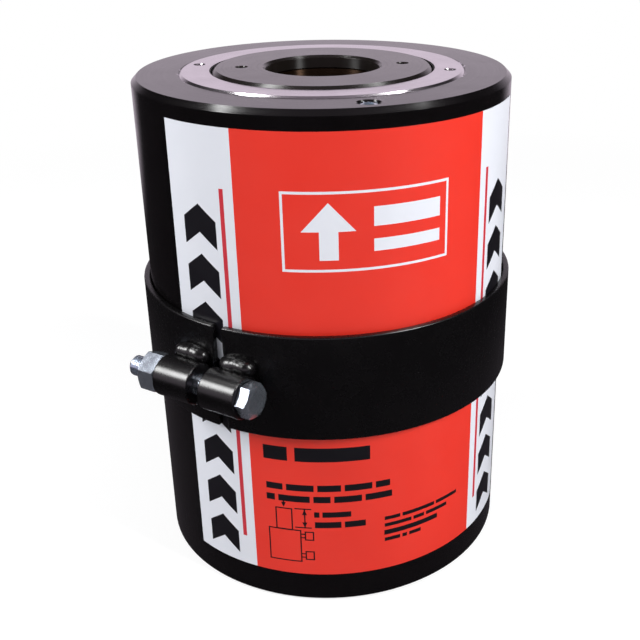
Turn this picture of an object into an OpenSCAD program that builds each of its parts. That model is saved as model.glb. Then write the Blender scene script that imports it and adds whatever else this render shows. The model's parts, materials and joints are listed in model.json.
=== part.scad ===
// Hollow plunger hydraulic cylinder, double acting, with a bolted clamp band.
// Millimetres. The axis is Z, the base stands on Z = 0, the label faces -Y and the oil ports face +Y.

/* [Body] */
// Wall of the cylinder body round the pressure chamber
body_wall = 28.575; // [24:0.005:40]
// Width of the ring-shaped chamber between the plunger and the bore
chamber_w = 7.9375; // [7:0.0005:12]
// Thickness of the base under the pressure chamber
base_t = 28.6; // [24:0.1:40]
// Chamfer of the body's top edge
body_top_edge = 2.4; // [1:0.1:4]
// Chamfer of the body's bottom edge
body_foot_edge = 1.6; // [0.5:0.1:4]
// Chamfer round the mouth of the body
mouth_edge = 0.5; // [0.3:0.1:1]

/* [Stroke] */
// Travel of the plunger
stroke = 101.6; // [60:0.1:150]
// Free space left at each end of the travel
stop_gap = 0.2; // [0.1:0.05:0.5]

/* [Centre tube] */
// Diameter of the hole through the whole cylinder
centre_hole_d = 53.975; // [40:0.005:70]
// Wall of the fixed centre tube
tube_wall = 6.35; // [5:0.05:10]
// Thickness of the lip in the base that the tube stands on
tube_lip = 8; // [5:0.5:12]
// Space between the tube's end and the plunger's flange
tube_end_gap = 0.6; // [0.4:0.1:2]

/* [Plunger] */
// Wall of the hollow plunger
plunger_wall = 18.05; // [16:0.05:26]
// Height of the plunger's face above the body, retracted
plunger_proud = 1.6; // [0.5:0.1:6]
// Chamfer of the plunger's top edge
plunger_edge = 2.3; // [1:0.1:4]
// Thickness of the inward flange at the plunger's top
plunger_flange = 6; // [4:0.5:12]
// Chamfer of the centre hole in the plunger's face
plunger_hole_edge = 1.3; // [0.5:0.1:3]
// Clearance between the plunger and the centre tube
plunger_tube_gap = 1; // [0.5:0.1:2]
// Wall of the plunger's spigot in the piston
spigot_wall = 10.1; // [8:0.1:12]
// Length of the spigot
spigot_h = 32; // [26:0.5:34]
// Tapping diameter of the holes in the plunger's face
face_hole_d = 5.1; // [4:0.1:7]
// Depth of those holes
face_hole_depth = 16; // [8:0.5:24]
// Distance of those holes from the edge of the centre hole
face_hole_inset = 11.1125; // [9:0.0005:14]
// Bearing of the first hole from the label's middle
face_hole_bearing = 81; // [0:1:180]
// Width of the countersink round each small hole
countersink = 0.6; // [0.2:0.1:1]

/* [Piston] */
// Height of the piston
piston_h = 47.6; // [46:0.1:60]
// Radial clearance of the piston's metal in the bore and on the tube
piston_gap = 0.25; // [0.15:0.05:0.4]
// Chamfer of the piston's lower edge, which lets oil in under it
piston_relief = 5; // [3:0.5:7]

/* [Gland nut] */
// Length of the gland nut
gland_h = 63.75; // [60:0.05:80]
// Height of the gland nut's face above the body
gland_proud = 0.65; // [0:0.05:1]
// Width of the shoulder under the gland nut's threaded head
gland_shoulder = 6.875; // [5:0.005:9]
// Length of the threaded head
gland_head_h = 34.65; // [30:0.05:38]
// Chamfer of the head's outer edge
gland_edge = 1.2; // [0.5:0.1:2]
// Height of the reduced end that lets oil reach the piston
gland_relief_h = 16; // [12:0.5:18]
// Radial depth of the reduced end
gland_relief = 2; // [1:0.1:3]
// Width of the oil notches across its end
gland_notch = 8; // [4:0.5:12]
// Radial clearance of the gland's metal round the plunger
gland_gap = 0.4; // [0.2:0.05:0.6]
// Diameter of the pin-spanner holes
spanner_hole_d = 4.8; // [3:0.1:5.5]
// Depth of the pin-spanner holes
spanner_hole_depth = 8; // [4:0.5:12]
// Distance of the pin-spanner holes from the head's outer edge
spanner_inset = 6.9; // [5:0.1:8.5]
// Bearing of the first pin-spanner hole from the label's middle
spanner_bearing = 67; // [0:1:180]

/* [Seals] */
// Radial clearance of sliding seals and bearing rings
run_gap = 0.05; // [0.02:0.01:0.1]
// Radial clearance of threads, seats and seals in their grooves
fit_gap = 0.05; // [0.02:0.01:0.1]
// Radial depth of the static o-ring grooves
o_ring_depth = 2.7; // [2:0.1:3]
// Land left between a groove and the nearest shoulder
groove_land = 3; // [2:0.1:4]
// Axial length of a squeezed o-ring
o_ring_h = 4; // [3.5:0.1:5]
// Axial length of the backup ring
backup_h = 2; // [1.5:0.1:3]
// Radial thickness of the bearing and wear rings
wear_t = 2.5; // [2:0.1:3]
// Axial length of the bearing and wear rings
wear_h = 12; // [9:0.5:14]
// Radial thickness of the rod seal and the tube seal
cup_t = 4.6; // [4:0.1:5]
// Axial length of the rod seal and the tube seal
cup_h = 8; // [6:0.1:9]
// Radial thickness of the piston's seal ring
piston_seal_t = 3; // [2.5:0.1:4]
// Axial length of the piston's seal ring
piston_seal_h = 9.5; // [8:0.1:11]
// Radial thickness of the wiper
wiper_t = 3; // [2:0.1:3.4]
// Axial length of the wiper in its groove
wiper_h = 4.8; // [3:0.1:6]
// Thickness of the gland nut's rim over the wiper
wiper_rim = 1.2; // [0.8:0.1:2]
// Radial width of the wiper's lip, which shows between that rim and the plunger
wiper_lip = 0.6; // [0.5:0.05:0.9]
// Depth of the lip's end below the gland nut's face
wiper_sink = 0.4; // [0.2:0.1:0.6]

/* [Top plug] */
// Diameter of the socket plug in the body's top face
plug_d = 9.5; // [8:0.1:12]
// Length of the plug
plug_h = 10; // [8:0.5:14]
// Depth of the plug below the top face
plug_sink = 0.4; // [0.2:0.1:3]
// Width across flats of its socket
plug_socket = 4; // [3:0.1:5]
// Depth of its socket
plug_socket_depth = 5; // [3:0.5:7]
// Bearing of the plug from the label's middle
plug_bearing = 1.5; // [-10:0.5:10]
// Diameter of the oil drilling under the plug
drilling_d = 4.5; // [3:0.1:6]

/* [Couplers] */
// Thread diameter of the couplers in the body
coupler_thread_d = 17.1; // [14:0.1:20]
// Depth of the tapped ports below their spot faces
port_depth = 15; // [12:0.5:17]
// Diameter of the oil drilling behind a port
port_drill_d = 8; // [5:0.1:9]
// Depth of the spot face into the round body
spot_depth = 2.2; // [2:0.1:3]
// Diameter of the spot face
spot_d = 36; // [34:0.5:38]
// Width across flats of the coupler's hexagon
coupler_af = 28.6; // [26:0.1:29]
// Height of the hexagon
coupler_hex_h = 11; // [8:0.5:14]
// Space left at each end of the coupler's thread
coupler_thread_end = 1; // [0.5:0.1:2]
// Chamfer of the coupler's edges
coupler_edge = 1.2; // [0.6:0.1:2]
// Diameter of the coupler's threaded nose
coupler_nose_d = 23.8; // [22:0.1:26]
// Length of the nose
coupler_nose_h = 20; // [16:0.5:24]
// Diameter of the socket in the nose
coupler_mouth_d = 16.4; // [14:0.1:18]
// Depth of that socket
coupler_mouth_h = 9; // [7:0.5:11]
// Diameter of the valve seat behind the socket
seat_d = 9.2; // [8:0.1:10]
// Length of the valve seat
seat_h = 3; // [2:0.5:4]
// Diameter of the valve chamber
chamber_d = 12; // [11:0.1:13]
// Depth of the poppet's tip behind the socket
poppet_sink = 0.3; // [0.2:0.1:1]
// Diameter of the poppet's tip
poppet_tip_d = 6; // [4:0.1:7]
// Length of the poppet's guide
poppet_guide_h = 7; // [5:0.5:9]
// Width of the flow slots in the poppet's guide
poppet_slot = 3; // [2:0.1:4]
// Wire of the poppet's spring
spring_wire = 1.2; // [0.8:0.1:1.4]
// Turns of the spring
spring_turns = 6; // [4:1:8]
// Thickness of the spring's retainer
retainer_h = 1.6; // [1:0.1:2.5]

/* [Label] */
// Thickness of the label
label_t = 0.2; // [0.1:0.05:0.3]
// Height of the label
label_h = 216.8; // [150:0.1:217]
// Height of its lower edge above the base
label_foot = 16; // [8:0.1:20]
// Angle that the label covers
label_arc = 120.7; // [80:0.1:200]
// Thickness of its glue
glue_gap = 0.02; // [0.01:0.01:0.05]

/* [Clamp band] */
// Thickness of the band
strap_t = 3.05; // [2:0.05:4]
// Width of the band
strap_w = 50.8; // [44:0.1:60]
// Height of the band's middle above the base
clamp_z = 118.8; // [60:0.1:140]
// Bearing of the bolted gap from the label's middle
clamp_bearing = -45.3; // [-90:0.1:90]
// Opening between the band's ends
strap_opening = 5; // [3:0.5:6]
// Distance of the opening's middle from the middle between the bosses, towards the bolt's head
strap_shift = 1.2; // [-2:0.1:2]
// Clearance of the band over the label
strap_gap = 0.1; // [0.05:0.05:0.3]
// Diameter of the bolt bosses
boss_d = 19.05; // [18:0.05:24]
// Length of each boss
boss_h = 19.05; // [14:0.05:24]
// Space between the two bosses
boss_gap = 6.4; // [5:0.1:12]
// Depth to which the bosses are coped over the band
boss_sink = 0.6; // [0.3:0.1:1.5]
// Radius of the weld beads
weld_r = 4.6; // [3:0.1:6]
// Distance from the ends of a boss to the middle of a weld bead's round ends
weld_inset = 4; // [1:0.1:6]

/* [Clamp bolt] */
// Diameter of the bolt
bolt_d = 9.525; // [8:0.005:12]
// Length of the bolt under its head
bolt_length = 63.5; // [60:0.5:80]
// Width across flats of the bolt's head
bolt_head_af = 14.29; // [13:0.01:18]
// Height of the bolt's head
bolt_head_h = 5.95; // [4:0.05:8]
// Width across flats of the nut
nut_af = 16.9; // [14:0.1:18]
// Height of the nut
nut_h = 9.5; // [6:0.1:10]
// Turn of the bolt's head about the bolt
bolt_head_turn = 26; // [0:1:60]
// Turn of the nut about the bolt
nut_turn = 5; // [0:1:60]
// Clearance of the bolt in its bosses
bolt_gap = 0.4; // [0.2:0.05:0.8]

/* [Hidden] */
$fn = 96;

// Overshoot of a cutting shape past the face it cuts
cut = 1;

// Heights along the axis, from the base up
floor_z = base_t;
piston_z0 = floor_z + stop_gap;
piston_z1 = piston_z0 + piston_h;
gland_z0 = piston_z1 + stroke + stop_gap;
gland_z1 = gland_z0 + gland_h;
top_z = gland_z1 - gland_proud;
shoulder_z = gland_z1 - gland_head_h;
plunger_z1 = top_z + plunger_proud;
flange_z = plunger_z1 - plunger_flange;
tube_z1 = flange_z - tube_end_gap;
spigot_z = piston_z1 - spigot_h;

// Radii of the main pieces, from the centre hole out
hole_r = centre_hole_d / 2;
tube_r = hole_r + tube_wall;
plunger_in_r = tube_r + plunger_tube_gap;
spigot_r = plunger_in_r + spigot_wall;
plunger_r = plunger_in_r + plunger_wall;
bore_r = plunger_r + chamber_w;
gland_r = bore_r + gland_shoulder;
body_r = bore_r + body_wall;

// Distances from the axis of the holes in the top
face_hole_reach = hole_r + face_hole_inset;
spanner_reach = gland_r - spanner_inset;
plug_reach = (gland_r + body_r) / 2;

// Height above the lip of the o-ring between the base and the centre tube
tube_o_ring_z = tube_lip + (base_t - tube_lip - o_ring_h) / 2;

// Heights of the seals' grooves
gland_groove_z = shoulder_z - groove_land - o_ring_h - backup_h;
bearing_z = gland_z0 + groove_land;
rod_seal_z = shoulder_z + groove_land;
wiper_z = gland_z1 - wiper_rim - wiper_h;
piston_o_ring_z = spigot_z + groove_land;
tube_wear_z = spigot_z + 2 * groove_land + o_ring_h;
tube_seal_z = piston_z0 + (piston_h - spigot_h - cup_h) / 2;
piston_seal_z = piston_z0 + piston_relief + groove_land;
piston_wear_z = piston_z1 - groove_land - wear_h;

// Ports: the lower one opens on the chamber's floor, the upper one on the gland's reduced end
advance_z = floor_z + port_drill_d / 2;
retract_z = gland_z0 + gland_relief_h / 2;
spot_reach = body_r - spot_depth;
port_end = spot_reach - port_depth;

// Distances of the coupler's steps from the cylinder's axis
coupler_in = port_end + coupler_thread_end;
coupler_hex = spot_reach + coupler_thread_end;
coupler_nose = coupler_hex + coupler_hex_h;
coupler_out = coupler_nose + coupler_nose_h;
mouth_in = coupler_out - coupler_mouth_h;
seat_in = mouth_in - seat_h;
chamber_r = chamber_d / 2;
poppet_r = chamber_r - run_gap;
seat_r = seat_d / 2;
poppet_tip_r = poppet_tip_d / 2;
// A cone at 45 degrees that closes on the edge of the seat
cone_z0 = seat_in - (poppet_r - seat_r + run_gap);
cone_z1 = cone_z0 + poppet_r - poppet_tip_r;
poppet_z0 = cone_z0 - poppet_guide_h;
poppet_z1 = mouth_in - poppet_sink;
retainer_z = coupler_in + coupler_edge;
spring_z0 = retainer_z + retainer_h;
spring_r = poppet_r - spring_wire;

// Label and clamp band
label_r = body_r + glue_gap;
strap_in = label_r + label_t + strap_gap;
strap_out = strap_in + strap_t;
boss_r = boss_d / 2;
bolt_r = bolt_d / 2;
bolt_reach = strap_out + boss_r - boss_sink;
boss_in = boss_gap / 2;
boss_out = boss_in + boss_h;

// Finishes
anodised_black = [0.07, 0.07, 0.08];
bare_alloy = [0.72, 0.71, 0.74];
hard_coat = [0.42, 0.40, 0.38];
bronze = [0.45, 0.33, 0.2];
seal_blue = [0.16, 0.25, 0.42];
seal_black = [0.05, 0.05, 0.05];
zinc = [0.78, 0.8, 0.84];
gloss_black = [0.03, 0.03, 0.03];
label_red = [0.86, 0.18, 0.13];

// A plain ring
module ring(r_in, r_out, z, h) {
    rotate_extrude()
        translate([r_in, z])
            square([r_out - r_in, h]);
}

// A squeezed o-ring: a ring whose section has round ends
module o_ring(r_in, r_out, z, h) {
    t = r_out - r_in;
    rotate_extrude()
        translate([r_in, z]) {
            translate([0, t / 2])
                square([t, h - t]);
            for (y = [t / 2, h - t / 2])
                translate([t / 2, y])
                    circle(t / 2);
        }
}

// A lip seal: a ring with a V groove in the end that meets the pressure, below or above
module cup_seal(r_in, r_out, z, h, above = false) {
    t = r_out - r_in;
    groove_side = t * 0.45;
    rotate_extrude()
        difference() {
            translate([r_in, z])
                square([t, h]);
            translate([r_in + t / 2, above ? z + h : z])
                rotate(45)
                    square(groove_side, center = true);
        }
}

// A straight hole from height z up, with a countersink at its mouth
module drilled_hole(d, depth, mouth_z) {
    translate([0, 0, mouth_z - depth])
        cylinder(d = d, h = depth + cut);
    translate([0, 0, mouth_z - countersink])
        cylinder(d1 = d, d2 = d + 4 * countersink, h = 2 * countersink);
}

// Puts a shape at a bearing from the label's middle, at a distance from the axis
module at_bearing(bearing, reach = 0) {
    rotate([0, 0, bearing])
        translate([0, -reach, 0])
            children();
}

// Two equal places on opposite sides of the axis
module opposite_pair(bearing, reach) {
    for (turn = [0, 180])
        at_bearing(bearing + turn, reach)
            children();
}

// Turns a shape built along Z to point out of the back at a port's height
module at_port(z) {
    translate([0, 0, z])
        rotate([-90, 0, 0])
            children();
}

// Cuts one tapped port with its spot face and oil drilling
module port_cut() {
    translate([0, 0, spot_reach])
        cylinder(d = spot_d, h = spot_depth + cut);
    translate([0, 0, port_end])
        cylinder(d = coupler_thread_d + 2 * fit_gap, h = port_depth + cut);
    translate([0, 0, bore_r - cut])
        cylinder(d = port_drill_d, h = port_end - bore_r + 2 * cut);
}

// Outline of the solid body, turned about the axis
module body_outline() {
    difference() {
        square([body_r, top_z]);
        translate([body_r, top_z])
            rotate(45)
                square(body_top_edge * sqrt(2), center = true);
        translate([body_r, 0])
            rotate(45)
                square(body_foot_edge * sqrt(2), center = true);
    }
}

// The oil drilling from the top plug down to the upper chamber
module plug_drilling() {
    at_bearing(plug_bearing, plug_reach) {
        translate([0, 0, retract_z])
            cylinder(d = drilling_d, h = top_z - plug_sink - plug_h - retract_z + cut);
        drilled_hole(plug_d + 2 * fit_gap, plug_h + plug_sink, top_z);
    }
    at_bearing(plug_bearing, bore_r - cut)
        translate([0, 0, retract_z])
            rotate([90, 0, 0])
                cylinder(d = drilling_d, h = plug_reach - bore_r + cut);
}

module cylinder_body() {
    color(anodised_black)
        difference() {
            rotate_extrude()
                body_outline();
            translate([0, 0, -cut])
                cylinder(r = hole_r, h = tube_lip + 2 * cut);
            translate([0, 0, tube_lip])
                cylinder(r = tube_r + fit_gap, h = top_z);
            translate([0, 0, floor_z])
                cylinder(r = bore_r, h = top_z);
            translate([0, 0, shoulder_z])
                cylinder(r = gland_r + fit_gap, h = top_z);
            translate([0, 0, top_z - mouth_edge])
                cylinder(r1 = gland_r + fit_gap, r2 = gland_r + fit_gap + 2 * mouth_edge, h = 2 * mouth_edge);
            for (z = [advance_z, retract_z])
                at_port(z)
                    port_cut();
            plug_drilling();
        }
}

module centre_tube() {
    color(bronze)
        difference() {
            ring(hole_r, tube_r, tube_lip, tube_z1 - tube_lip);
            ring(tube_r - o_ring_depth, tube_r + cut, tube_o_ring_z - fit_gap, o_ring_h + 2 * fit_gap);
        }
}

module centre_tube_o_ring() {
    color(seal_black)
        o_ring(tube_r - o_ring_depth, tube_r + fit_gap, tube_o_ring_z, o_ring_h);
}

// Outline of the gland nut: head, pilot and reduced end
module gland_outline() {
    difference() {
        union() {
            translate([0, shoulder_z])
                square([gland_r, gland_head_h]);
            translate([0, gland_z0 + gland_relief_h])
                square([bore_r - fit_gap, shoulder_z - gland_z0 - gland_relief_h]);
            translate([0, gland_z0])
                square([bore_r - gland_relief, gland_relief_h]);
        }
        translate([gland_r, gland_z1])
            rotate(45)
                square(gland_edge * sqrt(2), center = true);
        square([plunger_r + gland_gap, gland_z1 + cut]);
    }
}

module gland_nut() {
    color(bare_alloy)
        difference() {
            rotate_extrude()
                gland_outline();
            ring(bore_r - o_ring_depth, bore_r + cut, gland_groove_z - fit_gap, o_ring_h + backup_h + 2 * fit_gap);
            ring(plunger_r, plunger_r + wear_t, bearing_z - fit_gap, wear_h + 2 * fit_gap);
            ring(plunger_r, plunger_r + cup_t, rod_seal_z - fit_gap, cup_h + 2 * fit_gap);
            ring(plunger_r, plunger_r + wiper_t, wiper_z, wiper_h);
            ring(plunger_r, plunger_r + wiper_lip + fit_gap, wiper_z, wiper_h + wiper_rim + cut);
            for (turn = [0, 90])
                rotate([0, 0, turn + 45])
                    translate([-bore_r, -gland_notch / 2, gland_z0 - cut])
                        cube([2 * bore_r, gland_notch, groove_land / 2 + cut]);
            opposite_pair(spanner_bearing, spanner_reach)
                drilled_hole(spanner_hole_d, spanner_hole_depth, gland_z1);
        }
}

module gland_o_ring() {
    color(seal_black)
        o_ring(bore_r - o_ring_depth, bore_r, gland_groove_z, o_ring_h);
}

module gland_backup_ring() {
    color("ivory")
        ring(bore_r - o_ring_depth, bore_r - fit_gap, gland_groove_z + o_ring_h, backup_h);
}

module gland_bearing_ring() {
    color(bronze)
        ring(plunger_r + run_gap, plunger_r + wear_t, bearing_z, wear_h);
}

module rod_seal() {
    color(seal_blue)
        cup_seal(plunger_r + run_gap, plunger_r + cup_t, rod_seal_z, cup_h);
}

// The wiper sits under the gland nut's rim, and its lip comes up along the plunger
module rod_wiper() {
    lip_z = wiper_z + wiper_h;
    color(seal_black) {
        ring(plunger_r + run_gap, plunger_r + wiper_t - fit_gap, wiper_z, wiper_h - fit_gap);
        ring(plunger_r + run_gap, plunger_r + wiper_lip, lip_z - cut, wiper_rim - wiper_sink + cut);
    }
}

module passage_plug() {
    color(zinc)
        at_bearing(plug_bearing, plug_reach)
            translate([0, 0, top_z - plug_sink - plug_h])
                difference() {
                    cylinder(d = plug_d, h = plug_h);
                    translate([0, 0, plug_h - plug_socket_depth])
                        cylinder(d = plug_socket / cos(30), h = plug_socket_depth + cut, $fn = 6);
                }
}

// Outline of the plunger: a hollow rod with a flange at the top and a spigot at the foot
module plunger_outline() {
    difference() {
        union() {
            translate([plunger_in_r, piston_z1])
                square([plunger_wall, plunger_z1 - piston_z1]);
            translate([plunger_in_r, spigot_z])
                square([spigot_wall, spigot_h]);
            translate([hole_r, flange_z])
                square([plunger_in_r - hole_r, plunger_flange]);
        }
        translate([plunger_r, plunger_z1])
            rotate(45)
                square(plunger_edge * sqrt(2), center = true);
        translate([hole_r, plunger_z1])
            rotate(45)
                square(plunger_hole_edge * sqrt(2), center = true);
        translate([spigot_r - o_ring_depth, piston_o_ring_z - fit_gap])
            square([o_ring_depth + cut, o_ring_h + 2 * fit_gap]);
        translate([plunger_in_r - cut, tube_wear_z - fit_gap])
            square([tube_r + wear_t - plunger_in_r + cut, wear_h + 2 * fit_gap]);
    }
}

module plunger() {
    color(hard_coat)
        difference() {
            rotate_extrude()
                plunger_outline();
            opposite_pair(face_hole_bearing, face_hole_reach)
                drilled_hole(face_hole_d, face_hole_depth, plunger_z1);
        }
}

// Outline of the piston: it screws onto the spigot and runs in the bore and on the tube
module piston_outline() {
    difference() {
        translate([tube_r + piston_gap, piston_z0])
            square([bore_r - tube_r - 2 * piston_gap, piston_h]);
        translate([0, spigot_z])
            square([spigot_r + fit_gap, spigot_h + cut]);
        translate([bore_r, piston_z0])
            rotate(45)
                square(piston_relief * sqrt(2), center = true);
        translate([bore_r - piston_seal_t - o_ring_depth, piston_seal_z - fit_gap])
            square([piston_seal_t + o_ring_depth, piston_seal_h + 2 * fit_gap]);
        translate([bore_r - wear_t, piston_wear_z - fit_gap])
            square([wear_t, wear_h + 2 * fit_gap]);
        translate([0, tube_seal_z - fit_gap])
            square([tube_r + cup_t, cup_h + 2 * fit_gap]);
    }
}

module piston() {
    color(bare_alloy)
        rotate_extrude()
            piston_outline();
}

module piston_o_ring() {
    color(seal_black)
        o_ring(spigot_r - o_ring_depth, spigot_r + fit_gap, piston_o_ring_z, o_ring_h);
}

module piston_seal() {
    color(seal_blue)
        ring(bore_r - piston_seal_t, bore_r - run_gap, piston_seal_z, piston_seal_h);
}

module piston_seal_energizer() {
    color(seal_black)
        o_ring(bore_r - piston_seal_t - o_ring_depth, bore_r - piston_seal_t, piston_seal_z, piston_seal_h);
}

module piston_wear_ring() {
    color(bronze)
        ring(bore_r - wear_t, bore_r - run_gap, piston_wear_z, wear_h);
}

module tube_seal() {
    color(seal_blue)
        cup_seal(tube_r + run_gap, tube_r + cup_t, tube_seal_z, cup_h);
}

module tube_wear_ring() {
    color(bronze)
        ring(tube_r + run_gap, tube_r + wear_t, tube_wear_z, wear_h);
}

// A half coupler along Z, measured from the cylinder's axis
module coupler() {
    color(zinc)
        difference() {
            union() {
                translate([0, 0, coupler_in])
                    cylinder(d = coupler_thread_d, h = coupler_hex - coupler_in);
                translate([0, 0, coupler_hex])
                    intersection() {
                        cylinder(d = coupler_af / cos(30), h = coupler_hex_h, $fn = 6);
                        cylinder(
                            d1 = coupler_af + 2 * coupler_hex_h,
                            d2 = coupler_af,
                            h = coupler_hex_h
                        );
                    }
                translate([0, 0, coupler_nose])
                    cylinder(d = coupler_nose_d, h = coupler_nose_h - coupler_edge);
                translate([0, 0, coupler_out - coupler_edge])
                    cylinder(d1 = coupler_nose_d, d2 = coupler_nose_d - 2 * coupler_edge, h = coupler_edge);
            }
            translate([0, 0, coupler_in - cut])
                cylinder(r = chamber_r, h = seat_in - coupler_in + cut);
            translate([0, 0, seat_in - cut])
                cylinder(r = seat_r, h = seat_h + 2 * cut);
            translate([0, 0, mouth_in])
                cylinder(d = coupler_mouth_d, h = coupler_mouth_h + cut);
        }
}

// The poppet: a slotted guide, a cone that meets the seat and a tip that the hose's coupler pushes
module poppet() {
    color("goldenrod")
        difference() {
            rotate_extrude()
                polygon([
                    [0, poppet_z0], [poppet_r, poppet_z0], [poppet_r, cone_z0],
                    [poppet_tip_r, cone_z1], [poppet_tip_r, poppet_z1], [0, poppet_z1]
                ]);
            for (turn = [0, 120, 240])
                rotate([0, 0, turn])
                    translate([poppet_tip_r, -poppet_slot / 2, poppet_z0 - cut])
                        cube([poppet_r, poppet_slot, poppet_guide_h + cut]);
        }
}

// Points of one ring of the spring's wire, at a share of its whole length
spring_sides = 6;
spring_steps = spring_turns * 14;
function spring_point(share, side) =
    let (turn = 360 * spring_turns * share)
    let (span = poppet_z0 - spring_z0 - spring_wire)
    let (lean = 360 * side / spring_sides)
    let (reach = spring_r + spring_wire / 2 * cos(lean))
    [reach * cos(turn), reach * sin(turn), spring_z0 + spring_wire / 2 * (1 + sin(lean)) + span * share];

module poppet_spring() {
    points = [
        for (step = [0 : spring_steps], side = [0 : spring_sides - 1])
            spring_point(step / spring_steps, side)
    ];
    last = spring_steps * spring_sides;
    walls = [
        for (step = [0 : spring_steps - 1], side = [0 : spring_sides - 1])
            let (next = (side + 1) % spring_sides)
            let (row = step * spring_sides)
            [row + side, row + next, row + spring_sides + next, row + spring_sides + side]
    ];
    caps = [
        [for (side = [spring_sides - 1 : -1 : 0]) side],
        [for (side = [0 : spring_sides - 1]) last + side]
    ];
    color("silver")
        polyhedron(points, concat(walls, caps));
}

module poppet_retainer() {
    color(zinc)
        ring(poppet_tip_r, chamber_r - fit_gap, retainer_z, retainer_h);
}

module body_label() {
    color(label_red)
        rotate([0, 0, -90 - label_arc / 2])
            rotate_extrude(angle = label_arc)
                translate([label_r, label_foot])
                    square([label_t, label_h]);
}

// The band with its opening cut at the bolt's bearing
module clamp_strap() {
    color(gloss_black)
        at_bearing(clamp_bearing)
            difference() {
                ring(strap_in, strap_out, clamp_z - strap_w / 2, strap_w);
                translate([strap_shift - strap_opening / 2, -strap_out - cut, clamp_z - strap_w / 2 - cut])
                    cube([strap_opening, strap_out, strap_w + 2 * cut]);
            }
}

// Turns a shape built along Z to lie along the clamp bolt, with Z towards the bolt's head
module along_bolt(start) {
    at_bearing(clamp_bearing, bolt_reach)
        translate([start, 0, clamp_z])
            rotate([0, 90, 0])
                children();
}

// The round outside of the band, which bosses and welds are fitted to
module band_outside() {
    translate([0, 0, clamp_z - strap_w])
        cylinder(r = strap_out, h = 2 * strap_w);
}

module clamp_boss(start) {
    color(gloss_black)
        difference() {
            along_bolt(start)
                difference() {
                    cylinder(r = boss_r, h = boss_h);
                    translate([0, 0, -cut])
                        cylinder(r = bolt_r + bolt_gap, h = boss_h + 2 * cut);
                }
            band_outside();
        }
}

module clamp_boss_left() {
    clamp_boss(-boss_out);
}

module clamp_boss_right() {
    clamp_boss(boss_in);
}

// One bead in the corner between a boss and the band, above or below the boss
module weld_bead(start, side) {
    length = boss_h - 2 * weld_inset;
    at_bearing(clamp_bearing, strap_out + weld_r / 4)
        translate([start + weld_inset, 0, clamp_z + side * boss_r])
            rotate([0, 90, 0]) {
                cylinder(r = weld_r, h = length);
                for (end = [0, length])
                    translate([0, 0, end])
                        sphere(weld_r);
            }
}

module clamp_welds() {
    color(gloss_black)
        difference() {
            for (start = [-boss_out, boss_in], side = [-1, 1])
                weld_bead(start, side);
            for (start = [-boss_out - boss_h, boss_in - boss_h])
                along_bolt(start)
                    cylinder(r = boss_r, h = 3 * boss_h);
            band_outside();
        }
}

// A hexagon with its outer corners turned off
module hexagon(af, h) {
    intersection() {
        cylinder(d = af / cos(30), h = h, $fn = 6);
        cylinder(d1 = af + 4 * h, d2 = af, h = h);
    }
}

module clamp_bolt() {
    color(zinc) {
        along_bolt(boss_out)
            rotate(bolt_head_turn)
                hexagon(bolt_head_af, bolt_head_h);
        along_bolt(boss_out - bolt_length)
            cylinder(r = bolt_r, h = bolt_length);
    }
}

module clamp_nut() {
    color(zinc)
        along_bolt(-boss_out)
            mirror([0, 0, 1])
                difference() {
                    rotate(nut_turn)
                        hexagon(nut_af, nut_h);
                    translate([0, 0, -cut])
                        cylinder(r = bolt_r + fit_gap, h = nut_h + 2 * cut);
                }
}

cylinder_body();
centre_tube();
centre_tube_o_ring();
gland_nut();
gland_o_ring();
gland_backup_ring();
gland_bearing_ring();
rod_seal();
rod_wiper();
passage_plug();
plunger();
piston();
piston_o_ring();
piston_seal();
piston_seal_energizer();
piston_wear_ring();
tube_seal();
tube_wear_ring();
at_port(advance_z) coupler();  // advance_coupler
at_port(advance_z) poppet();  // advance_poppet
at_port(advance_z) poppet_spring();  // advance_poppet_spring
at_port(advance_z) poppet_retainer();  // advance_poppet_retainer
at_port(retract_z) coupler();  // retract_coupler
at_port(retract_z) poppet();  // retract_poppet
at_port(retract_z) poppet_spring();  // retract_poppet_spring
at_port(retract_z) poppet_retainer();  // retract_poppet_retainer
body_label();
clamp_strap();
clamp_boss_left();
clamp_boss_right();
clamp_welds();
clamp_bolt();
clamp_nut();
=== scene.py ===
import json
import math

import bmesh
import bpy
from mathutils import Matrix, Vector, noise


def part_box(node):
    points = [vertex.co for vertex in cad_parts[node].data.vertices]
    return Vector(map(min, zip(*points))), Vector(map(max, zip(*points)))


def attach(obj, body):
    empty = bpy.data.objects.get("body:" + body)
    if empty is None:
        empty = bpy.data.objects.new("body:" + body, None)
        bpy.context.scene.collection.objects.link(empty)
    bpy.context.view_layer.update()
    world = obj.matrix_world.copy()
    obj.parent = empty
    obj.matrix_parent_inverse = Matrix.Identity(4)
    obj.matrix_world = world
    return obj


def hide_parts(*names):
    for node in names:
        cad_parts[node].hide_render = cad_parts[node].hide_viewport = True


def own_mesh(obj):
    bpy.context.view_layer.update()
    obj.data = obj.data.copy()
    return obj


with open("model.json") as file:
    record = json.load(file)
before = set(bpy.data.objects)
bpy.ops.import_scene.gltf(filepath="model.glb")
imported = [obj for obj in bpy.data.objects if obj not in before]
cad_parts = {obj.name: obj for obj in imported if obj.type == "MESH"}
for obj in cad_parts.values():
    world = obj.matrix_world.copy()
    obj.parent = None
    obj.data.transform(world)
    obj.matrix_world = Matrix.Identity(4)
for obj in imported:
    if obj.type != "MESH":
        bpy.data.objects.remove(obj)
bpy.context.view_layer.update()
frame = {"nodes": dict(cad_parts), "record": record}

# Lengths below are in metres; MM turns millimetres into them
MM = 0.001
TURN = 2 * math.pi

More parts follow.
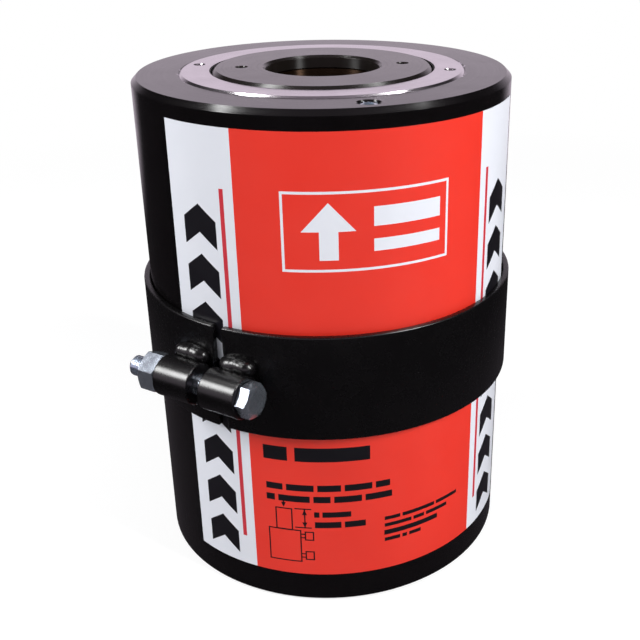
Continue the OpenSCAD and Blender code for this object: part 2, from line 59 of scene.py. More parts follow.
# Sizes read from the frame
nodes = frame["nodes"]
mounts = {mount["name"]: mount for mount in frame["record"]["mounts"]}
body_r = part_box("cylinder_body")[1].x
body_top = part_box("cylinder_body")[1].z
gland_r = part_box("gland_nut")[1].x
hole_r = mounts["centre_bore"]["dims"]["r_mm"] * MM
strap_low, strap_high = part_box("clamp_strap")
label_low, label_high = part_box("body_label")
advance_z = mounts["advance_coupler_nose"]["pos_m"][2]
retract_z = mounts["retract_coupler_nose"]["pos_m"][2]

# The camera of the photograph, whose frame is square
photo_side = 640
focal_px = 957.32
axis_px = (373.31, 294.13)
camera_place = Vector((-95.3, -448.9, 324.4)) * MM
camera_heading = math.radians(14.9)
camera_dip = math.radians(23.57)
camera_roll = -0.0063
sensor_width = 36.0

# What the gloss sees of the studio. The spans are those over which a wall or the ceiling fades
backdrop_tint = (1.0, 0.87, 1.0, 1.0)
beside_bearing = math.radians(-78)
behind = Vector((math.sin(camera_heading), math.cos(camera_heading), 0.0))
beside = Vector((math.sin(beside_bearing), -math.cos(beside_bearing), 0.0))
wall_sides = (0.7, 0.9)
wall_tops = (0.3, 0.55)
ceiling_span = (0.6, 0.95)
backdrop_light = 0.8
ceiling_light = 0.22
dim_light = 0.03
near_floor = 0.05
far_floor = 0.02

# Clamp band
strap_t = 3.05 * MM
strap_edge = 0.7 * MM
strap_opening = 5 * MM
strap_shift = 1.2 * MM
strap_out = strap_high.x
clamp_z = (strap_low.z + strap_high.z) / 2
clamp_bearing = math.radians(-45.3)
boss_r = 9.525 * MM
boss_h = 19.05 * MM
boss_gap = 6.4 * MM
boss_sink = 0.6 * MM
boss_out = boss_gap / 2 + boss_h
boss_edge = 0.5 * MM
boss_clearance = 0.4 * MM
bolt_reach = strap_out + boss_r - boss_sink
weld_r = 4.6 * MM
weld_inset = 4 * MM

# Clamp bolt and nut
bolt_r = 4.7625 * MM
bolt_length = 63.5 * MM
bolt_pitch = 1.5875 * MM
bolt_thread = 25.4 * MM
head_af = 14.29 * MM
head_h = 5.95 * MM
head_turn = math.radians(26)
nut_af = 16.9 * MM
nut_h = 9.5 * MM
nut_turn = math.radians(5)
corner_start = 0.49

# Top plug
plug_edge = 0.5 * MM
plug_slope = math.radians(12)
plug_socket = 4 * MM
plug_socket_depth = 5 * MM

# Label, measured round the body from its middle and up from the base
label_t = 0.2 * MM
label_r = body_r + 0.02 * MM
label_arc = math.radians(120.7)


def srgb(red, green, blue):
    """A colour given as 8-bit screen values, as linear light."""
    def linear(value):
        share = value / 255
        return share / 12.92 if share <= 0.04045 else ((share + 0.055) / 1.055) ** 2.4
    return (linear(red), linear(green), linear(blue), 1.0)


# Shader helpers
def add(tree, kind, inputs=None, **settings):
    """A shader node with its settings, and its inputs set to values or joined to other nodes' outputs."""
    made = tree.nodes.new("ShaderNode" + kind)
    for key, value in settings.items():
        setattr(made, key, value)
    for key, value in (inputs or {}).items():
        if isinstance(value, bpy.types.NodeSocket):
            tree.links.new(value, made.inputs[key])
        else:
            made.inputs[key].default_value = value
    return made


def math_node(tree, operation, first, second=0.0, third=0.0):
    return add(tree, "Math", {0: first, 1: second, 2: third}, operation=operation).outputs[0]


def mix_colour(tree, share, first, second):
    made = add(tree, "Mix", {0: share, 6: first, 7: second}, data_type="RGBA")
    return made.outputs[2]


def scale_range(tree, value, low, high, from_low=0.0, from_high=1.0):
    inputs = {0: value, 1: from_low, 2: from_high, 3: low, 4: high}
    return add(tree, "MapRange", inputs).outputs[0]


def places(tree):
    """The point's place on the object, as one vector and as x, y and z."""
    point = add(tree, "TexCoord").outputs["Object"]
    split = add(tree, "SeparateXYZ", {0: point})
    return point, split.outputs[0], split.outputs[1], split.outputs[2]


def axis_distance(tree, x, y):
    flat = add(tree, "CombineXYZ", {0: x, 1: y})
    return add(tree, "VectorMath", {0: flat.outputs[0]}, operation="LENGTH").outputs["Value"]


def noise_value(tree, vector, scale, detail=3.0):
    inputs = {"Vector": vector, "Scale": scale, "Detail": detail}
    return add(tree, "TexNoise", inputs).outputs[0]


def new_material(name):
    made = bpy.data.materials.new(name)
    made.use_nodes = True
    made.node_tree.nodes.clear()
    output = add(made.node_tree, "OutputMaterial")
    shader = add(made.node_tree, "BsdfPrincipled")
    made.node_tree.links.new(shader.outputs[0], output.inputs[0])
    return made, made.node_tree, shader


def surface(name, colour, roughness, metallic=0.0, mottle=0.12, spread=0.08, grain=900.0, bump=0.04,
            turned=False, anisotropic=0.0):
    """A finish whose colour, roughness and relief vary. Turned ones have a lathe's rings about the axis."""
    made, tree, shader = new_material(name)
    point, x, y, z = places(tree)
    grain_place = point
    if turned:
        grain_place = add(tree, "CombineXYZ", {0: axis_distance(tree, x, y), 1: z}).outputs[0]
    fine = noise_value(tree, grain_place, grain)
    coarse = noise_value(tree, point, 55.0)
    shade = scale_range(tree, coarse, 1 - mottle, 1 + mottle, 0.3, 0.7)
    tint = add(tree, "VectorMath", {0: colour[:3], "Scale": shade}, operation="SCALE").outputs[0]
    worn = math_node(tree, "ADD", fine, coarse)
    tree.links.new(tint, shader.inputs["Base Color"])
    rough = scale_range(tree, worn, roughness - spread, roughness + spread, 0.6, 1.4)
    tree.links.new(rough, shader.inputs["Roughness"])
    relief = add(tree, "Bump", {"Strength": bump, "Distance": 0.0005, "Height": fine})
    tree.links.new(relief.outputs[0], shader.inputs["Normal"])
    shader.inputs["Metallic"].default_value = metallic
    shader.inputs["IOR"].default_value = 1.5
    if anisotropic:
        shader.inputs["Anisotropic"].default_value = anisotropic
        shader.inputs["Anisotropic Rotation"].default_value = 0.25
        around = add(tree, "Tangent", direction_type="RADIAL", axis="Z")
        tree.links.new(around.outputs[0], shader.inputs["Tangent"])
    return made


def body_finish():
    """Black anodising with turned rings, chipped to bare metal here and there at the mouth's edge."""
    made = surface("black_anodised", srgb(9, 7, 8), 0.18, mottle=0.15, spread=0.04, grain=700.0, bump=0.03,
                   turned=True)
    tree = made.node_tree
    shader = tree.nodes["Principled BSDF"]
    point, x, y, z = places(tree)
    reach = axis_distance(tree, x, y)
    chips = noise_value(tree, point, 420.0, 2.0)
    chip_width = scale_range(tree, chips, 0.0, 1.6 * MM, 0.6, 0.75)
    edge = math_node(tree, "ADD", chip_width, gland_r)
    near_mouth = math_node(tree, "LESS_THAN", reach, edge)
    near_top = math_node(tree, "GREATER_THAN", z, body_top - 3 * MM)
    bare = math_node(tree, "MULTIPLY", near_mouth, near_top)
    black = shader.inputs["Base Color"].links[0].from_socket
    tree.links.new(mix_colour(tree, bare, black, srgb(214, 210, 218)), shader.inputs["Base Color"])
    tree.links.new(bare, shader.inputs["Metallic"])
    return made


def plunger_finish():
    """Grey hard coat with turned rings. Along the bore it catches the light in upright streaks."""
    made = surface("grey_hard_coat", srgb(24, 20, 18), 0.2, spread=0.04, grain=800.0, turned=True,
                   anisotropic=1.0)
    tree = made.node_tree
    shader = tree.nodes["Principled BSDF"]
    point, x, y, z = places(tree)
    in_bore = math_node(tree, "LESS_THAN", axis_distance(tree, x, y), hole_r + 0.3 * MM)
    tree.links.new(in_bore, shader.inputs["Anisotropic"])
    tree.links.new(math_node(tree, "MULTIPLY_ADD", in_bore, -0.22, 0.5), shader.inputs["Specular IOR Level"])
    rough = shader.inputs["Roughness"].links[0].from_socket
    tree.links.new(math_node(tree, "MULTIPLY_ADD", in_bore, 0.12, rough), shader.inputs["Roughness"])
    return made


# Printed label
def rectangle(tree, u, v, left, low, width, height):
    """1 inside an upright rectangle of the label and 0 outside it."""
    across = math_node(tree, "COMPARE", u, left + width / 2, width / 2)
    upright = math_node(tree, "COMPARE", v, low + height / 2, height / 2)
    return math_node(tree, "MULTIPLY", across, upright)


def outline(tree, u, v, left, low, width, height, line):
    whole = rectangle(tree, u, v, left, low, width, height)
    inside = rectangle(tree, u, v, left + line, low + line, width - 2 * line, height - 2 * line)
    return math_node(tree, "SUBTRACT", whole, inside)


def arrow_head(tree, u, v, middle, base, tip, half_width):
    """A triangle from its base's height to its tip's, which may lie above or below."""
    share = scale_range(tree, v, half_width, 0.0, base, tip)
    off = math_node(tree, "ABSOLUTE", math_node(tree, "SUBTRACT", u, middle))
    inside = math_node(tree, "LESS_THAN", off, share)
    span = math_node(tree, "COMPARE", v, (base + tip) / 2, abs(tip - base) / 2)
    return math_node(tree, "MULTIPLY", inside, span)


def joined(tree, masks):
    whole = masks[0]
    for mask in masks[1:]:
        whole = math_node(tree, "MAXIMUM", whole, mask)
    return whole


def bars(tree, u, v, left, low, height, widths, space):
    """A row of plain bars."""
    masks = []
    for width in widths:
        masks.append(rectangle(tree, u, v, left, low, width, height))
        left += width + space
    return masks


def chevrons(tree, u, v, middle, low, half_width, pitch, count, slope=0.75, share=0.56):
    """A column of whole arrow-shaped blocks that point up."""
    off = math_node(tree, "ABSOLUTE", math_node(tree, "SUBTRACT", u, middle))
    lifted = math_node(tree, "MULTIPLY_ADD", off, slope, v)
    rows = math_node(tree, "DIVIDE", math_node(tree, "SUBTRACT", lifted, low), pitch)
    phase = math_node(tree, "FRACT", rows)
    block = math_node(tree, "LESS_THAN", phase, share)
    column = rectangle(tree, u, lifted, middle - half_width, low, 2 * half_width, (count - 1 + share) * pitch)
    return math_node(tree, "MULTIPLY", block, column)


def cylinder_figure(tree, u, v):
    """A line drawing of a cylinder with two couplers, its stroke marked beside the plunger."""
    line = 0.65
    masks = [
        outline(tree, u, v, -50.7, 23.0, 16.1, 18.7, line),
        outline(tree, u, v, -46.8, 41.2, 8.3, 12.5, line),
        rectangle(tree, u, v, -37.5, 53.4, 8.0, line),
        rectangle(tree, u, v, -37.5, 42.8, 8.0, line),
        rectangle(tree, u, v, -33.0, 43.2, line, 10.2),
        arrow_head(tree, u, v, -32.75, 50.4, 53.4, 1.2),
        arrow_head(tree, u, v, -32.75, 46.2, 43.2, 1.2),
        rectangle(tree, u, v, -42.9, 56.5, line, 2.0),
        arrow_head(tree, u, v, -42.65, 56.8, 54.0, 1.2),
    ]
    for low in (35.8, 24.4):
        masks.append(outline(tree, u, v, -33.0, low, 4.5, 5.2, line))
        masks.append(rectangle(tree, u, v, -34.6, low + 1.2, 1.6, line))
        masks.append(rectangle(tree, u, v, -34.6, low + 3.2, 1.6, line))
    return masks


def label_finish():
    """Glossy vinyl, printed in red, white and black. The print's sizes are in millimetres."""
    made, tree, shader = new_material("label_vinyl")
    point, x, y, z = places(tree)
    bearing = math_node(tree, "ARCTAN2", x, math_node(tree, "MULTIPLY", y, -1.0))
    u = math_node(tree, "MULTIPLY", bearing, (label_r + label_t) / MM)
    v = math_node(tree, "DIVIDE", z, MM)
    side = math_node(tree, "ABSOLUTE", u)

    panel = math_node(tree, "LESS_THAN", side, 58.15)
    stripe = rectangle(tree, side, v, 62.85, 32.5, 2.1, 174.5)
    white_print = joined(tree, [
        outline(tree, u, v, -37.8, 173.3, 74.3, 35.0, 1.15),
        rectangle(tree, u, v, -22.0, 178.5, 8.0, 13.0),
        arrow_head(tree, u, v, -18.0, 191.0, 203.5, 11.5),
        rectangle(tree, u, v, 1.0, 192.5, 31.0, 8.5),
        rectangle(tree, u, v, 1.0, 181.5, 31.0, 5.5),
    ])
    black_print = joined(tree, [
        chevrons(tree, side, v, 76.8, 27.8, 9.1, 22.6, 8),
        *bars(tree, u, v, -51.3, 79.8, 7.4, [11.5, 34.8], 3.5),
        *bars(tree, u, v, -50.7, 63.6, 3.5, [8.0, 13.0, 11.0, 13.0, 7.0], 1.7),
        *bars(tree, u, v, -50.8, 57.4, 3.5, [4.1, 15.0, 8.0, 13.0, 13.0], 1.7),
        *bars(tree, u, v, -28.2, 49.2, 3.0, [2.5, 13.5], 1.4),
        *bars(tree, u, v, -28.0, 43.2, 3.4, [12.5, 10.0], 1.6),
        *bars(tree, u, v, 5.4, 44.2, 2.0, [8.0, 18.0, 14.0], 1.2),
        *bars(tree, u, v, 5.4, 40.3, 2.0, [14.0, 6.0, 13.0], 1.2),
        rectangle(tree, u, v, 5.2, 35.7, 29.5, 2.7),
        *bars(tree, u, v, 5.4, 32.0, 2.0, [8.0, 2.5, 6.5], 1.2),
        *cylinder_figure(tree, u, v),
    ])
    mottle = noise_value(tree, point, 60.0)
    red = mix_colour(tree, mottle, srgb(228, 48, 34), srgb(234, 54, 39))
    white = mix_colour(tree, mottle, srgb(224, 227, 236), srgb(230, 232, 240))
    black = mix_colour(tree, mottle, srgb(17, 16, 21), srgb(24, 22, 28))
    colour = mix_colour(tree, panel, white, red)
    colour = mix_colour(tree, stripe, colour, srgb(205, 46, 60))
    colour = mix_colour(tree, white_print, colour, white)
    colour = mix_colour(tree, black_print, colour, black)
    tree.links.new(colour, shader.inputs["Base Color"])
    scuffs = noise_value(tree, point, 90.0, 4.0)
    tree.links.new(scale_range(tree, scuffs, 0.3, 0.36, 0.3, 0.7), shader.inputs["Roughness"])
    grain = noise_value(tree, point, 2200.0)
    relief = add(tree, "Bump", {"Strength": 0.03, "Distance": 0.0003, "Height": grain})
    tree.links.new(relief.outputs[0], shader.inputs["Normal"])
    return made


looks = {
    "black_anodised": body_finish(),
    "bronze_hard_coat": surface("bronze_hard_coat", srgb(56, 40, 28), 0.27, 0.85, spread=0.04, grain=900.0,
                                turned=True, anisotropic=1.0),
    "grey_hard_coat": plunger_finish(),
    "bare_alloy": surface("bare_alloy", srgb(208, 203, 208), 0.17, 1.0, spread=0.04, grain=800.0,
                          turned=True),
    "black_rubber": surface("black_rubber", srgb(24, 24, 25), 0.6, grain=1500.0, bump=0.1),
    "seal_plastic": surface("seal_plastic", srgb(89, 117, 161), 0.4),
    "bearing_plastic": surface("bearing_plastic", srgb(173, 142, 104), 0.55, mottle=0.2),
    "zinc_steel": surface("zinc_steel", srgb(206, 215, 228), 0.22, 0.93, mottle=0.1, grain=500.0, bump=0.02),
    "spring_steel": surface("spring_steel", srgb(180, 180, 184), 0.3, 1.0),
    "valve_brass": surface("valve_brass", srgb(220, 188, 124), 0.28, 1.0),
    "label_vinyl": label_finish(),
    "gloss_black_paint": surface("gloss_black_paint", srgb(8, 7, 8), 0.27, spread=0.03, grain=250.0,
                                 bump=0.008),
}
for part in frame["record"]["subparts"]:
    nodes[part["node"]].data.materials.clear()
    nodes[part["node"]].data.materials.append(looks[part["material_slot"]])


# Mesh helpers
def ring(reach, height, place, count=96):
    """Points round a local Z axis. The reach and the height are numbers, or functions of the angle."""
    points = []
    for step in range(count):
        angle = TURN * step / count
        r = reach(angle) if callable(reach) else reach
        z = height(angle) if callable(height) else height
        points.append(place @ Vector((r * math.cos(angle), r * math.sin(angle), z)))
    return points


def rounded_end(reach, height, edge, way, place, steps=4):
    """Rings over the rounded edge from a round side to its end face, which faces up or down at a height."""
    flat = 0.1 * MM
    rings = [ring(reach, height - way * (edge + flat), place)]
    for step in range(steps + 1):
        angle = TURN / 4 * step / steps
        inset = edge * (1 - math.cos(angle))
        drop = edge * (1 - math.sin(angle))
        rings.append(ring(reach - inset, height - way * drop, place))
    rings.append(ring(reach - edge - flat, height, place))
    return rings


def hexagon(across_flats):
    """Reach of a hexagon's side from its middle, at an angle from a corner."""
    def reach(angle):
        return across_flats / 2 / math.cos(angle % (TURN / 6) - TURN / 12)
    return reach


def hexagon_edge(across_flats, height, way):
    """Height of a hexagon's edge whose corners are turned off at 30 degrees, downwards or upwards."""
    side = hexagon(across_flats)
    start = corner_start * across_flats
    def edge(angle):
        return height + way * math.tan(math.radians(30)) * (side(angle) - start)
    return edge


def thread(major, pitch, depth, low, high, place, count=96, steps=8):
    """Rings of a screw thread between two heights, which runs out at the upper one."""
    rings = []
    rows = math.ceil((high - low) / pitch * steps)
    for row in range(rows + 1):
        z = low + (high - low) * row / rows
        fade = min(1.0, 2 * (high - z) / pitch)
        def reach(angle, z=z, fade=fade):
            wave = abs(2 * ((z / pitch - angle / TURN) % 1) - 1)
            return major - depth * fade * min(1.0, max(0.0, 1.6 * wave - 0.45))
        rings.append(ring(reach, z, place, count))
    return rings


def skin(shape, rings, closed=False):
    """Faces between rings of equal count. The ends are capped, or joined to each other if closed."""
    rows = [[shape.verts.new(point) for point in points] for points in rings]
    following = rows[1:] + rows[:1] if closed else rows[1:]
    for row, after in zip(rows, following):
        for this in range(len(row)):
            other = (this + 1) % len(row)
            shape.faces.new((row[this], row[other], after[other], after[this]))
    if not closed:
        shape.faces.new(rows[0])
        shape.faces.new(rows[-1])


def add_piece(name, shape, slot, stands_for, crease=35):
    """Makes a piece of the fixed cylinder from a mesh in progress."""
    bmesh.ops.recalc_face_normals(shape, faces=shape.faces)
    mesh = bpy.data.meshes.new(name)
    shape.to_mesh(mesh)
    shape.free()
    mesh.shade_smooth()
    mesh.set_sharp_from_angle(angle=math.radians(crease))
    mesh.materials.append(looks[slot])
    made = bpy.data.objects.new(name, mesh)
    bpy.context.scene.collection.objects.link(made)
    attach(made, "cylinder")
    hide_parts(stands_for)
    return made


def at_bearing(bearing, reach, height):
    """A place at a bearing from the label's middle, whose local -Y points outwards."""
    return Matrix.Rotation(bearing, 4, "Z") @ Matrix.Translation((0, -reach, height))


def along_bolt(turn=0.0):
    """A place at the clamp bolt's middle, whose local Z points to the bolt's head."""
    middle = at_bearing(clamp_bearing, bolt_reach, clamp_z)
    return middle @ Matrix.Rotation(TURN / 4, 4, "Y") @ Matrix.Rotation(turn, 4, "Z")


def at_port(height):
    """A place on the axis at a port's height, whose local Z points out of the back."""
    return Matrix.Translation((0, 0, height)) @ Matrix.Rotation(-TURN / 4, 4, "X")


# Label: a thin shell round the front of the body
def label_sheet():
    shape = bmesh.new()
    steps = 120
    rings = []
    for step in range(steps + 1):
        bearing = label_arc * (step / steps - 0.5)
        section = [(label_r, label_low.z), (label_r + label_t, label_low.z),
                   (label_r + label_t, label_high.z), (label_r, label_high.z)]
        rings.append([Matrix.Rotation(bearing, 3, "Z") @ Vector((0, -r, z)) for r, z in section])
    skin(shape, rings)
    return add_piece("printed_label", shape, "label_vinyl", "body_label")


# Clamp band with rounded edges
def strap_section(inset):
    """Outline of the band's section, as reach and height, drawn in by an inset."""
    corner = strap_edge
    points = []
    for turn, r, z in ((0, strap_out, strap_high.z), (1, strap_out - strap_t, strap_high.z),
                       (2, strap_out - strap_t, strap_low.z), (3, strap_out, strap_low.z)):
        inward_r = -1 if turn in (0, 3) else 1
        inward_z = -1 if turn in (0, 1) else 1
        middle = (r + inward_r * corner, z + inward_z * corner)
        for step in range(5):
            angle = TURN / 4 * (turn + step / 4)
            size = corner - inset
            points.append((middle[0] + size * math.cos(angle), middle[1] + size * math.sin(angle)))
    return points


def strap_band():
    shape = bmesh.new()
    rounding = strap_edge / strap_out
    first = math.asin((strap_opening / 2 + strap_shift) / strap_out)
    last = TURN - math.asin((strap_opening / 2 - strap_shift) / strap_out)
    steps = 180
    turns = []
    for step in range(5):
        angle = TURN / 4 * step / 4
        turns.append((rounding * (1 - math.cos(angle)), strap_edge * (1 - math.sin(angle))))
    stations = [(first + off, inset) for off, inset in turns]
    span = last - first - 2 * rounding
    stations += [(first + rounding + span * step / steps, 0.0) for step in range(1, steps)]
    stations += [(last - off, inset) for off, inset in reversed(turns)]
    rings = []
    for bearing, inset in stations:
        turn = Matrix.Rotation(clamp_bearing + bearing, 3, "Z")
        rings.append([turn @ Vector((0, -r, z)) for r, z in strap_section(inset)])
    skin(shape, rings)
    return add_piece("clamp_band", shape, "gloss_black_paint", "clamp_strap", crease=50)


# Weld beads with ripples and uneven ends
def weld_bead(shape, start, side, seed):
    length = boss_h - 2 * weld_inset + 1.5 * weld_r
    place = at_bearing(clamp_bearing, strap_out + weld_r / 4, clamp_z + side * boss_r)
    place = place @ Matrix.Translation((start + weld_inset - 0.75 * weld_r, 0, 0))
    place = place @ Matrix.Rotation(TURN / 4, 4, "Y")
    rows = 40
    rings = []
    for row in range(rows + 1):
        share = row / rows
        dome = math.sqrt(max(0.02, 1 - abs(2 * share - 1) ** 4))
        ripple = 1 + 0.03 * abs(math.sin(TURN / 2 * share * 5 + seed))
        points = []
        for point in ring(weld_r * 0.9 * dome * ripple, length * share, Matrix.Identity(4), 40):
            lump = noise.noise((point + Vector((seed, 3 * seed, 0)) * 10 * MM) * 150)
            away = Vector((point.x, point.y, 0)).normalized()
            points.append(place @ (point + away * lump * 0.7 * MM * dome))
        rings.append(points)
    skin(shape, rings)


def weld_beads():
    shape = bmesh.new()
    seed = 1
    for start in (-boss_out, boss_gap / 2):
        for side in (-1, 1):
            weld_bead(shape, start, side, seed)
            seed += 1
    return add_piece("weld_beads", shape, "gloss_black_paint", "clamp_welds", crease=60)


# Clamp bosses with rounded edges
def clamp_boss(name, start, stands_for):
    place = along_bolt()
    hole = bolt_r + boss_clearance
    end = start + boss_h
    rings = [ring(hole, start, place)]
    rings += reversed(rounded_end(boss_r, start, boss_edge, -1, place))
    rings += rounded_end(boss_r, end, boss_edge, 1, place)
    rings.append(ring(hole, end, place))
    shape = bmesh.new()
    skin(shape, rings, closed=True)
    return add_piece(name, shape, "gloss_black_paint", stands_for)


# Clamp bolt and nut
def bolt_rings():
    place = along_bolt(head_turn)
    end = boss_out - bolt_length
    depth = 0.61 * bolt_pitch
    side = hexagon(head_af)
    top = boss_out + head_h
    washer = 0.3 * MM
    washer_r = 0.47 * head_af
    dish_r = 0.36 * head_af
    rings = [ring(bolt_r - depth - 0.4 * MM, end, place)]
    rings += thread(bolt_r, bolt_pitch, depth, end + 0.8 * MM, end + bolt_thread, place)
    rings += [ring(bolt_r, boss_out, place), ring(washer_r, boss_out, place)]
    rings += [ring(washer_r, boss_out + washer, place), ring(side, boss_out + washer, place)]
    rings += [ring(side, hexagon_edge(head_af, top, -1), place), ring(corner_start * head_af, top, place)]
    rings.append(ring(dish_r, top - 0.05 * MM, place))
    return rings


def nut_rings():
    place = along_bolt(nut_turn)
    side = hexagon(nut_af)
    outer, inner = -boss_out - nut_h, -boss_out
    chamfer = 0.6 * MM
    hole = bolt_r + 0.05 * MM
    return [
        ring(hole, outer + chamfer, place), ring(hole + chamfer, outer, place),
        ring(corner_start * nut_af, outer, place), ring(side, hexagon_edge(nut_af, outer, 1), place),
        ring(side, hexagon_edge(nut_af, inner, -1), place), ring(corner_start * nut_af, inner, place),
        ring(hole + chamfer, inner, place), ring(hole, inner - chamfer, place),
    ]


def bolt_and_nut():
    shape = bmesh.new()
    skin(shape, bolt_rings())
    add_piece("hexagon_bolt", shape, "zinc_steel", "clamp_bolt")
    shape = bmesh.new()
    skin(shape, nut_rings(), closed=True)
    add_piece("hexagon_nut", shape, "zinc_steel", "clamp_nut")


# Plug in the body's top face, which slopes away from its hexagon socket
def socket_plug():
    low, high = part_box("passage_plug")
    plug_r = (high.x - low.x) / 2
    place = Matrix.Translation(((low.x + high.x) / 2, (low.y + high.y) / 2, 0))
    lead = 0.1 * MM
    drop = math.tan(plug_slope) * (plug_r - plug_socket / 2)
    rings = [ring(plug_r, low.z, place)]
    rings += rounded_end(plug_r, high.z - drop, plug_edge, 1, place)
    rings.append(ring(hexagon(plug_socket + 2 * lead), high.z, place))
    rings.append(ring(hexagon(plug_socket), high.z - lead, place))
    rings.append(ring(hexagon(plug_socket), high.z - plug_socket_depth, place))
    shape = bmesh.new()
    skin(shape, rings)
    return add_piece("rounded_plug", shape, "zinc_steel", "passage_plug")


# Half couplers, measured from the cylinder's axis outwards
def coupler(name, height, stands_for):
    place = at_port(height)
    low, high = (corner.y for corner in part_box(stands_for))
    thread_r, thread_pitch, thread_depth = 8.55 * MM, 1.4 * MM, 0.9 * MM
    nose_pitch, nose_depth = 1.814 * MM, 1.1 * MM
    hex_af = 28.6 * MM
    hex_low, hex_high = high - 31 * MM, high - 20 * MM
    nose_r = mounts["advance_coupler_nose"]["dims"]["r_mm"] * MM
    mouth_r = mounts["advance_coupler_socket"]["dims"]["r_mm"] * MM
    mouth = high - mounts["advance_coupler_socket"]["dims"]["length_mm"] * MM
    seat = mouth - 3 * MM
    seat_r, chamber_r = 4.6 * MM, 6 * MM
    edge = 1.2 * MM
    groove = 2.2 * MM
    side = hexagon(hex_af)
    rings = [ring(thread_r - edge, low, place)]
    rings += thread(thread_r, thread_pitch, thread_depth, low + edge / 2, hex_low - groove, place)
    rings += [ring(thread_r - edge, hex_low - groove, place), ring(thread_r - edge, hex_low, place)]
    rings.append(ring(corner_start * hex_af, hex_low, place))
    rings.append(ring(side, hexagon_edge(hex_af, hex_low, 1), place))
    rings.append(ring(side, hexagon_edge(hex_af, hex_high, -1), place))
    rings.append(ring(corner_start * hex_af, hex_high, place))
    rings += [ring(nose_r - edge, hex_high, place), ring(nose_r - edge, hex_high + groove, place)]
    rings += thread(nose_r, nose_pitch, nose_depth, hex_high + groove + 0.4 * MM, high - edge, place)
    rings += [ring(nose_r - edge, high, place), ring(mouth_r + 0.5 * MM, high, place)]
    rings += [ring(mouth_r, high - 0.5 * MM, place), ring(mouth_r, mouth, place)]
    rings += [ring(seat_r, mouth, place), ring(seat_r, seat, place)]
    rings += [ring(chamber_r, seat, place), ring(chamber_r, low, place)]
    shape = bmesh.new()
    skin(shape, rings, closed=True)
    return add_piece(name, shape, "zinc_steel", stands_for)


# Poppet springs
def spring_coil(name, stands_for):
    """The spring's own coil, copied from its solid and kept on the fixed cylinder."""
    solid = nodes[stands_for]
    made = bpy.data.objects.new(name, solid.data.copy())
    bpy.context.scene.collection.objects.link(made)
    made.matrix_world = solid.matrix_world
    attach(made, "cylinder")
    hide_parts(stands_for)
    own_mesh(made)


label_sheet()
strap_band()
weld_beads()
clamp_boss("rounded_boss_left", -boss_out, "clamp_boss_left")
clamp_boss("rounded_boss_right", boss_gap / 2, "clamp_boss_right")
bolt_and_nut()
socket_plug()
coupler("threaded_advance_coupler", advance_z, "advance_coupler")
coupler("threaded_retract_coupler", retract_z, "retract_coupler")
spring_coil("advance_poppet_coil", "advance_poppet_spring")
spring_coil("retract_poppet_coil", "retract_poppet_spring")


# Camera
def make_camera():
    lens = bpy.data.cameras.new("camera")
    lens.sensor_width = sensor_width
    lens.lens = focal_px * sensor_width / photo_side
    lens.shift_x = 0.5 - axis_px[0] / photo_side
    lens.shift_y = axis_px[1] / photo_side - 0.5
    lens.clip_start = 0.01
    camera = bpy.data.objects.new("camera", lens)
    bpy.context.scene.collection.objects.link(camera)
    camera.matrix_world = (
        Matrix.Translation(camera_place)
        @ Matrix.Rotation(-camera_heading, 4, "Z")
        @ Matrix.Rotation(TURN / 4 - camera_dip, 4, "X")
        @ Matrix.Rotation(camera_roll, 4, "Z")
    )
    bpy.context.scene.camera = camera


# Studio
def wall_share(tree, way, wall):
    """1 for ways that lead to a wall in a given direction, which fades at its sides."""
    facing = add(tree, "VectorMath", {0: way, 1: wall}, operation="DOT_PRODUCT").outputs["Value"]
    return scale_range(tree, facing, 0.0, 1.0, *wall_sides)


def make_floor():
    """A pale floor that keeps the object's shadow. Far off it is as white as the backdrop."""
    shape = bmesh.new()
    bmesh.ops.create_grid(shape, x_segments=1, y_segments=1, size=6.0)
    mesh = bpy.data.meshes.new("floor")
    shape.to_mesh(mesh)
    shape.free()
    floor = bpy.data.objects.new("floor", mesh)
    bpy.context.scene.collection.objects.link(floor)
    floor_look = bpy.data.materials.new("floor")
    floor_look.use_nodes = True
    tree = floor_look.node_tree
    tree.nodes.clear()
    output = add(tree, "OutputMaterial")
    point, x, y, z = places(tree)
    distance = axis_distance(tree, x, y)
    path = add(tree, "LightPath")
    bounce = add(tree, "BsdfDiffuse", {"Color": (0.6, 0.6, 0.6, 1.0)})
    shadowed = add(tree, "BsdfDiffuse", {"Color": (0.35, 0.35, 0.35, 1.0)})
    glow = add(tree, "Emission", {"Color": (1.0, 1.0, 1.0, 1.0), "Strength": 0.74})
    near = add(tree, "AddShader", {0: shadowed.outputs[0], 1: glow.outputs[0]})
    far = add(tree, "Emission", {"Color": (1.0, 1.0, 1.0, 1.0), "Strength": 1.0})
    fade = scale_range(tree, distance, 0.0, 1.0, 0.3, 0.9)
    seen = add(tree, "MixShader", {0: fade, 1: near.outputs[0], 2: far.outputs[0]})
    far_off = scale_range(tree, distance, 0.0, 1.0, 0.5, 0.9)
    bearing = add(tree, "VectorMath", {0: point}, operation="NORMALIZE").outputs[0]
    white = math_node(tree, "MULTIPLY", far_off, wall_share(tree, bearing, behind))
    close_by = scale_range(tree, distance, near_floor, far_floor, 0.2, 0.4)
    shine = math_node(tree, "MAXIMUM", math_node(tree, "MULTIPLY", white, backdrop_light), close_by)
    reflected = add(tree, "Emission", {"Color": backdrop_tint, "Strength": shine})
    direct = joined(tree, [path.outputs["Is Camera Ray"], path.outputs["Is Transmission Ray"]])
    gloss = path.outputs["Is Glossy Ray"]
    lit = add(tree, "MixShader", {0: gloss, 1: bounce.outputs[0], 2: reflected.outputs[0]})
    mixed = add(tree, "MixShader", {0: direct, 1: lit.outputs[0], 2: seen.outputs[0]})
    tree.links.new(mixed.outputs[0], output.inputs[0])
    mesh.materials.append(floor_look)


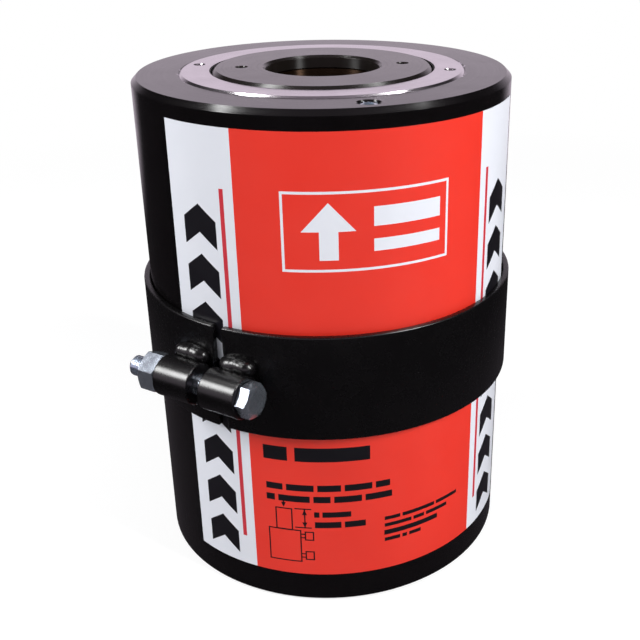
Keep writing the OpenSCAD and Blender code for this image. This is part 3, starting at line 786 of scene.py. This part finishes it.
def make_world():
    """White all round. The gloss sees tinted walls behind, in front and on the left of a dim room."""
    world = bpy.data.worlds.new("studio")
    bpy.context.scene.world = world
    world.use_nodes = True
    tree = world.node_tree
    tree.nodes.clear()
    output = add(tree, "OutputWorld")
    path = add(tree, "LightPath")
    ray = add(tree, "TexCoord").outputs["Generated"]
    rise = add(tree, "SeparateXYZ", {0: ray}).outputs[2]
    below_edge = scale_range(tree, rise, 1.0, 0.0, *wall_tops)
    walls = joined(tree, [wall_share(tree, ray, wall) for wall in (behind, -behind, beside)])
    white = math_node(tree, "MULTIPLY", walls, below_edge)
    ceiling = scale_range(tree, rise, dim_light, ceiling_light, *ceiling_span)
    shine = math_node(tree, "MAXIMUM", math_node(tree, "MULTIPLY", white, backdrop_light), ceiling)
    backdrop = add(tree, "Background", {"Color": (1.0, 1.0, 1.0, 1.0), "Strength": 1.0})
    reflected = add(tree, "Background", {"Color": backdrop_tint, "Strength": shine})
    fill = add(tree, "Background", {"Color": (0.98, 0.98, 1.0, 1.0), "Strength": 0.25})
    direct = joined(tree, [path.outputs["Is Camera Ray"], path.outputs["Is Transmission Ray"]])
    gloss = path.outputs["Is Glossy Ray"]
    lit = add(tree, "MixShader", {0: gloss, 1: fill.outputs[0], 2: reflected.outputs[0]})
    mixed = add(tree, "MixShader", {0: direct, 1: lit.outputs[0], 2: backdrop.outputs[0]})
    tree.links.new(mixed.outputs[0], output.inputs[0])


def softbox(name, bearing, height, distance, width, tall, watts, colours=True):
    """A lamp at a bearing from the label's middle, aimed at the object. Some only show in gloss."""
    lamp = bpy.data.lights.new(name, "AREA")
    lamp.shape = "RECTANGLE"
    lamp.size = width
    lamp.size_y = tall
    lamp.energy = watts
    made = bpy.data.objects.new(name, lamp)
    bpy.context.scene.collection.objects.link(made)
    target = Vector((0, 0, body_top / 2))
    place = Matrix.Rotation(math.radians(bearing), 3, "Z") @ Vector((0, -distance, height))
    made.location = place
    made.rotation_euler = (target - place).to_track_quat("-Z", "Y").to_euler()
    made.visible_camera = False
    made.visible_diffuse = colours


make_camera()
make_floor()
make_world()
softbox("left_box", -89, 0.79, 0.95, 0.32, 0.4, 10.4)
softbox("right_box", 40, 0.85, 1.0, 0.2, 0.6, 14)
softbox("left_highlight", -97, 0.68, 0.29, 0.08, 0.15, 0.6, colours=False)
softbox("right_highlight", 76, 0.68, 0.26, 0.07, 0.15, 0.35, colours=False)

bpy.context.scene.view_settings.view_transform = "Standard"
